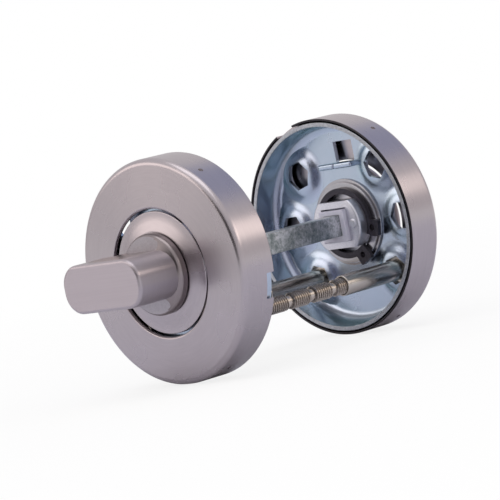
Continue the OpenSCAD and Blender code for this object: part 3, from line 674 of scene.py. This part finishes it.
# Stainless steel as it came from the lathe and the mill: cooler and brighter than the
# ground parts, with a grain like fine sand on the flats and the front of the nose.
raw_deep, raw_bright, sand_grain, sand_height = "#bdbdc6", "#e6e6ec", 0.35, 0.04
raw, tree, here = bare_material("stainless_steel_turned_bright")
sand = add(tree, "ShaderNodeTexNoise", {"Vector": here, "Scale": 1 / (sand_grain * MM),
                                        "Detail": 3.0}).outputs["Fac"]
colour = add(tree, "ShaderNodeMixRGB", {"Fac": sand, "Color1": linear(raw_deep),
                                        "Color2": linear(raw_bright)})
rough = add(tree, "ShaderNodeMapRange", {"Value": sand, "To Min": 0.35, "To Max": 0.5})
uneven = add(tree, "ShaderNodeBump", {"Height": sand, "Strength": 0.3,
                                      "Distance": sand_height * MM}).outputs["Normal"]
steel = add(tree, "ShaderNodeBsdfPrincipled", {
    "Base Color": colour.outputs["Color"], "Metallic": 1.0,
    "Roughness": rough.outputs["Result"], "Normal": uneven})
add(tree, "ShaderNodeOutputMaterial", {"Surface": steel.outputs[0]})
release.data.materials.append(raw)

# Retaining rings. Each is stamped from spring steel, blackened, and sprung into the groove
# of a neck; the two square lugs beside its gap have holes for the pliers.
ring_r, ring_gap_angle, ring_gap_width, lug_spread = 8.5, 127, 25, 25
lug_w, lug_corner_r, lug_at, lug_hole_r, ring_edge_r = 3.9, 0.5, 9.0, 0.75, 0.12
ring_steps, hole_steps = 128, 32
black_deep, black_worn, scale_grain, scale_height = "#242228", "#46434b", 0.6, 0.03
black, tree, here = bare_material("spring_steel_blackened")
speck = add(tree, "ShaderNodeTexNoise", {"Vector": here, "Scale": 1 / (scale_grain * MM),
                                         "Detail": 3.0}).outputs["Fac"]
colour = add(tree, "ShaderNodeMixRGB", {"Fac": speck, "Color1": linear(black_deep),
                                        "Color2": linear(black_worn)})
uneven = add(tree, "ShaderNodeBump", {"Height": speck, "Strength": 0.3,
                                      "Distance": scale_height * MM}).outputs["Normal"]
steel = add(tree, "ShaderNodeBsdfPrincipled", {
    "Base Color": colour.outputs["Color"], "Metallic": 0.7, "Roughness": 0.36,
    "Normal": uneven})
add(tree, "ShaderNodeOutputMaterial", {"Surface": steel.outputs[0]})
for side, node, body in ((turn_side, "turn_circlip", "thumb_turn"),
                         (release_side, "release_circlip", "release_turn")):
    ring = piece(node + "_stamped", bar(ring_r, ring_t, (0, 0, ring_low), ring_steps))
    for way in (-1, 1):
        lug = block((lug_w, lug_w, ring_t), (0, 0, ring_low + ring_t / 2))
        round_edges(lug, [e for e in lug.edges
                          if abs(e.verts[0].co.z - e.verts[1].co.z) > over], lug_corner_r, 5)
        carve(ring, moved(lug, round_from_top(ring_gap_angle + way * lug_spread, lug_at)),
              "UNION")
    carve(ring, bar(groove_r, ring_t + 2 * over, (0, 0, ring_low - over), ring_steps))
    for way in (-1, 1):
        spot = round_from_top(ring_gap_angle + way * lug_spread, lug_at)
        carve(ring, moved(bar(lug_hole_r, ring_t + 2 * over, (0, 0, ring_low - over),
                              hole_steps), spot))
    reach = lug_at + lug_w
    wedge = block((1, reach, ring_t + 2 * over), (0, reach / 2, ring_low + ring_t / 2))
    for vert in wedge.verts:
        vert.co.x *= 2 * math.tan(math.radians(ring_gap_width / 2)) * vert.co.y
    carve(ring, moved(wedge, round_from_top(ring_gap_angle, 0)))
    fit_to_rose(ring, side, ring_edge_r)
    ring.data.materials.append(black)
    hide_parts(node)
    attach(ring, body)

# Inserts. Each is a square sleeve moulded in natural nylon that grips the spindle; it
# stands out of the nose a little, and light soaks into it.
insert_edge_r, slit_h, slit_len = 0.3, 0.33, 2.6
nylon_deep, nylon_pale, flow_size, flow_height, soak_depth = "#b9b8c8", "#d2d1de", 2.5, 0.05, 1.2
nylon, tree, here = bare_material("nylon_natural_moulded")
cloud = add(tree, "ShaderNodeTexNoise", {"Vector": here, "Scale": 1 / (flow_size * MM),
                                         "Detail": 2.0}).outputs["Fac"]
colour = add(tree, "ShaderNodeMixRGB", {"Fac": cloud, "Color1": linear(nylon_deep),
                                        "Color2": linear(nylon_pale)})
uneven = add(tree, "ShaderNodeBump", {"Height": cloud, "Strength": 0.2,
                                      "Distance": flow_height * MM}).outputs["Normal"]
plastic = add(tree, "ShaderNodeBsdfPrincipled", {
    "Base Color": colour.outputs["Color"], "Roughness": 0.35, "IOR": 1.53,
    "Subsurface Weight": 0.35, "Subsurface Radius": (1.0, 0.9, 1.0),
    "Subsurface Scale": soak_depth * MM, "Normal": uneven})
add(tree, "ShaderNodeOutputMaterial", {"Surface": plastic.outputs[0]})
for side, node, body in ((turn_side, "turn_insert", "thumb_turn"),
                         (release_side, "release_insert", "release_turn")):
    shape = block((insert_w, insert_w, insert_len), (0, 0, insert_at + insert_len / 2))
    round_edges(shape, shape.edges[:], insert_edge_r, 4)
    sleeve = piece(node + "_moulded", shape)
    carve(sleeve, block((square_bore, square_bore, insert_len + 2 * over),
                        (0, 0, insert_at + insert_len / 2)))
    carve(sleeve, block((insert_w, 2 * slit_h, 2 * slit_len),
                        (0, insert_w / 2, insert_at)))
    fit_to_rose(sleeve, side, soft_edge)
    sleeve.data.materials.append(nylon)
    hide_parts(node)
    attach(sleeve, body)

# Spindle. A 5 mm square bar, cropped from drawn steel and zinc plated in a barrel, which
# leaves it dull and mottled.
spindle_edge_r = 0.22
shape = block((spindle_w, spindle_w, spindle_len), (0, 0, spindle_end - spindle_len / 2))
round_edges(shape, shape.edges[:], spindle_edge_r, 3)
spindle = piece("spindle_bar", shape)
fit_to_rose(spindle, release_side)
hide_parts("spindle")
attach(spindle, "release_turn")
dull_deep, dull_bright = "#87908f", "#e0e1e4"
blotch_size, speck_size, speck_height = 4.0, 0.55, 0.04
dull_zinc, tree, here = bare_material("steel_bar_barrel_zinc_plated")
blotch = add(tree, "ShaderNodeTexNoise", {"Vector": here, "Scale": 1 / (blotch_size * MM),
                                          "Detail": 2.0}).outputs["Fac"]
speck = add(tree, "ShaderNodeTexNoise", {"Vector": here, "Scale": 1 / (speck_size * MM),
                                         "Detail": 4.0, "Roughness": 0.7}).outputs["Fac"]
mottle = add(tree, "ShaderNodeMath", {0: blotch, 1: speck}, operation="MULTIPLY").outputs[0]
spots = add(tree, "ShaderNodeMapRange", {"Value": mottle, "From Min": 0.16, "From Max": 0.34})
colour = add(tree, "ShaderNodeMixRGB", {"Fac": spots.outputs["Result"],
                                        "Color1": linear(dull_deep),
                                        "Color2": linear(dull_bright)})
rough = add(tree, "ShaderNodeMapRange", {"Value": speck, "To Min": 0.22, "To Max": 0.5})
uneven = add(tree, "ShaderNodeBump", {"Height": speck, "Strength": 0.35,
                                      "Distance": speck_height * MM}).outputs["Normal"]
steel = add(tree, "ShaderNodeBsdfPrincipled", {
    "Base Color": colour.outputs["Color"], "Metallic": 1.0,
    "Roughness": rough.outputs["Result"], "Normal": uneven})
add(tree, "ShaderNodeOutputMaterial", {"Surface": steel.outputs[0]})
spindle.data.materials.append(dull_zinc)

# Sleeve nuts. Two nickel-plated tubes with a slotted head behind a seat of the release
# plate; the screws run into them through the door.
sleeve_r, sleeve_len, sleeve_bore_r, sleeve_head_r, sleeve_head_h = 2.45, 20.0, 2.0, 3.75, 1.4
drive_slot_w, drive_slot_depth, mouth_r, tube_steps = 1.1, 0.7, 0.3, 64
sleeve_low = seat_back - sleeve_len
tube = piece("tube", revolve([
    (sleeve_bore_r, sleeve_low, mouth_r / 2), (sleeve_r, sleeve_low, mouth_r),
    (sleeve_r, seat_back, 0), (sleeve_head_r, seat_back, mouth_r / 2),
    (sleeve_head_r, seat_back + sleeve_head_h, mouth_r),
    (0, seat_back + sleeve_head_h, 0), (0, seat_back, 0), (sleeve_bore_r, seat_back, 0)],
    tube_steps))
carve(tube, block((2 * sleeve_head_r + 2 * over, drive_slot_w, 2 * drive_slot_depth),
                  (0, 0, seat_back + sleeve_head_h)))

# Nickel on drawn steel tube: a warm mirror in which long light and dark bands run down the
# tube, a little broken up by the draw marks.
nickel_deep, nickel_bright, draw_width, draw_run = "#9a938c", "#cdc6be", 1.1, 16.0
nickel, tree, here = bare_material("steel_tube_nickel_plated")
stretch = add(tree, "ShaderNodeMapping", {"Vector": here, "Scale": (
    1 / (draw_width * MM), 1 / (draw_run * MM), 1 / (draw_width * MM))})
drawn = add(tree, "ShaderNodeTexNoise", {"Vector": stretch.outputs[0], "Scale": 1.0,
                                         "Detail": 3.0}).outputs["Fac"]
colour = add(tree, "ShaderNodeMixRGB", {"Fac": drawn, "Color1": linear(nickel_deep),
                                        "Color2": linear(nickel_bright)})
rough = add(tree, "ShaderNodeMapRange", {"Value": drawn, "To Min": 0.2, "To Max": 0.3})
steel = add(tree, "ShaderNodeBsdfPrincipled", {
    "Base Color": colour.outputs["Color"], "Metallic": 1.0,
    "Roughness": rough.outputs["Result"]})
add(tree, "ShaderNodeOutputMaterial", {"Surface": steel.outputs[0]})
bolts = (("left", -135), ("right", 135))
for name, angle in bolts:
    nut = bpy.data.objects.new(f"sleeve_nut_{name}_tube", tube.data.copy())
    scene.collection.objects.link(nut)
    nut.data.transform(round_from_top(angle, fixing_r))
    fit_to_rose(nut, release_side, soft_edge / 2)
    nut.data.materials.append(nickel)
    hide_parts(f"sleeve_nut_{name}")
    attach(nut, "release_rose")
bpy.data.objects.remove(tube)

# Screws. M4 with a rolled thread, broken by smooth necks at which the fitter snaps them to
# the thickness of the door; the crossed head bears on a seat of the turn plate.
pitch, crest_r, root_r, crest_flat, root_flat = 0.7, 1.95, 1.5, 0.16, 0.12
screw_len, screw_head_r, screw_head_h, screw_head_edge_r = 47.0, 3.75, 1.5, 0.6
break_r, break_len, break_pitch, break_first, break_count = 1.4, 1.5, 7.4, 3.3, 4
break_taper, drive_slot_len, thread_steps, thread_merge_gap = 0.3, 3.8, 48, 0.001
screw_low = seat_back - screw_len
flank = (pitch - crest_flat - root_flat) / 2
shape = bmesh.new()
points = []
for k in range(-2, int(screw_len / pitch) + 2):
    foot = screw_low + k * pitch
    for radius, rise in ((root_r, 0), (root_r, root_flat), (crest_r, root_flat + flank),
                         (crest_r, pitch - flank)):
        points.append(shape.verts.new((radius, 0, foot + rise)))
edges = [shape.edges.new(pair) for pair in zip(points, points[1:])]
bmesh.ops.spin(shape, geom=points + edges, cent=(0, 0, 0), axis=(0, 0, 1),
               dvec=(0, 0, pitch / thread_steps), angle=2 * math.pi, steps=thread_steps,
               use_merge=False)
bmesh.ops.remove_doubles(shape, verts=shape.verts, dist=thread_merge_gap)
for level, way in ((screw_low - over / 2, -1), (seat_back + over / 2, 1)):
    bmesh.ops.bisect_plane(shape, geom=shape.verts[:] + shape.edges[:] + shape.faces[:],
                           plane_co=(0, 0, level), plane_no=(0, 0, way), clear_outer=True)
bmesh.ops.holes_fill(shape, edges=[e for e in shape.edges if e.is_boundary], sides=0)
bmesh.ops.recalc_face_normals(shape, faces=shape.faces)
threaded = piece("threaded", shape)
outline = [(0, screw_low, 0), (break_r, screw_low, 0), (crest_r, screw_low + over, 0)]
for k in range(break_count):
    neck = screw_low + break_first + k * break_pitch
    outline += [(crest_r, neck - break_len / 2 - break_taper, 0),
                (break_r, neck - break_len / 2, 0), (break_r, neck + break_len / 2, 0),
                (crest_r, neck + break_len / 2 + break_taper, 0)]
outline += [(crest_r, seat_back + skin, 0), (0, seat_back + skin, 0)]
carve(threaded, revolve(outline, tube_steps), "INTERSECT")
carve(threaded, revolve([
    (0, seat_back, 0), (screw_head_r, seat_back, soft_edge),
    (screw_head_r, seat_back + screw_head_h, screw_head_edge_r),
    (0, seat_back + screw_head_h, 0)], tube_steps), "UNION")
for length, width in ((drive_slot_len, drive_slot_w), (drive_slot_w, drive_slot_len)):
    carve(threaded, block((length, width, 2 * drive_slot_depth),
                          (0, 0, seat_back + screw_head_h)))

# Bright rolled steel: warm and fairly shiny on the crests, and painted dark in the grooves
# of the thread as painted shade.
crest_deep, crest_bright, groove_shade_deep, groove_shade_pale = "#a59b92", "#d0c6bc", "#4b4542", "#7f766f"
wear_size = 0.8
rolled, tree, here = bare_material("steel_screw_rolled_bright")
speck = add(tree, "ShaderNodeTexNoise", {"Vector": here, "Scale": 1 / (wear_size * MM),
                                         "Detail": 3.0}).outputs["Fac"]
bolt_x = fixing_r * math.sin(math.radians(bolts[1][1]))
bolt_z = fixing_r * math.cos(math.radians(bolts[1][1]))
split = add(tree, "ShaderNodeSeparateXYZ", {"Vector": here}).outputs
aside = add(tree, "ShaderNodeMath", {
    0: add(tree, "ShaderNodeMath", {0: split["X"]}, operation="ABSOLUTE").outputs[0],
    1: bolt_x * MM}, operation="SUBTRACT").outputs[0]
above = add(tree, "ShaderNodeMath", {0: split["Z"], 1: bolt_z * MM},
            operation="SUBTRACT").outputs[0]
radius = add(tree, "ShaderNodeVectorMath", {
    0: add(tree, "ShaderNodeCombineXYZ", {"X": aside, "Y": above}).outputs[0]},
    operation="LENGTH").outputs["Value"]
crest = add(tree, "ShaderNodeMapRange", {"Value": radius, "From Min": root_r * MM,
                                         "From Max": crest_r * MM}).outputs["Result"]
bright = add(tree, "ShaderNodeMixRGB", {"Fac": speck, "Color1": linear(crest_deep),
                                        "Color2": linear(crest_bright)}).outputs["Color"]
# Painted shade: the roots of the thread are coloured dark; the crests and smooth necks stay
# bright.
groove_shade = add(tree, "ShaderNodeMixRGB", {"Fac": speck, "Color1": linear(groove_shade_deep),
                                       "Color2": linear(groove_shade_pale)}).outputs["Color"]
smooth_neck = add(tree, "ShaderNodeMath", {0: radius, 1: (break_r + skin) * MM},
                  operation="LESS_THAN").outputs[0]
unshaded = add(tree, "ShaderNodeMath", {0: crest, 1: smooth_neck}, operation="MAXIMUM").outputs[0]
colour = add(tree, "ShaderNodeMixRGB", {"Fac": unshaded, "Color1": groove_shade, "Color2": bright})
rough = add(tree, "ShaderNodeMapRange", {"Value": speck, "To Min": 0.18, "To Max": 0.34})
steel = add(tree, "ShaderNodeBsdfPrincipled", {
    "Base Color": colour.outputs["Color"], "Metallic": 1.0,
    "Roughness": rough.outputs["Result"]})
add(tree, "ShaderNodeOutputMaterial", {"Surface": steel.outputs[0]})
for name, angle in bolts:
    screw = bpy.data.objects.new(f"screw_{name}_threaded", threaded.data.copy())
    scene.collection.objects.link(screw)
    screw.data.transform(round_from_top(angle, fixing_r))
    fit_to_rose(screw, turn_side)
    screw.data.materials.append(rolled)
    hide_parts(f"screw_{name}")
    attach(screw, f"screw_{name}")
bpy.data.objects.remove(threaded)
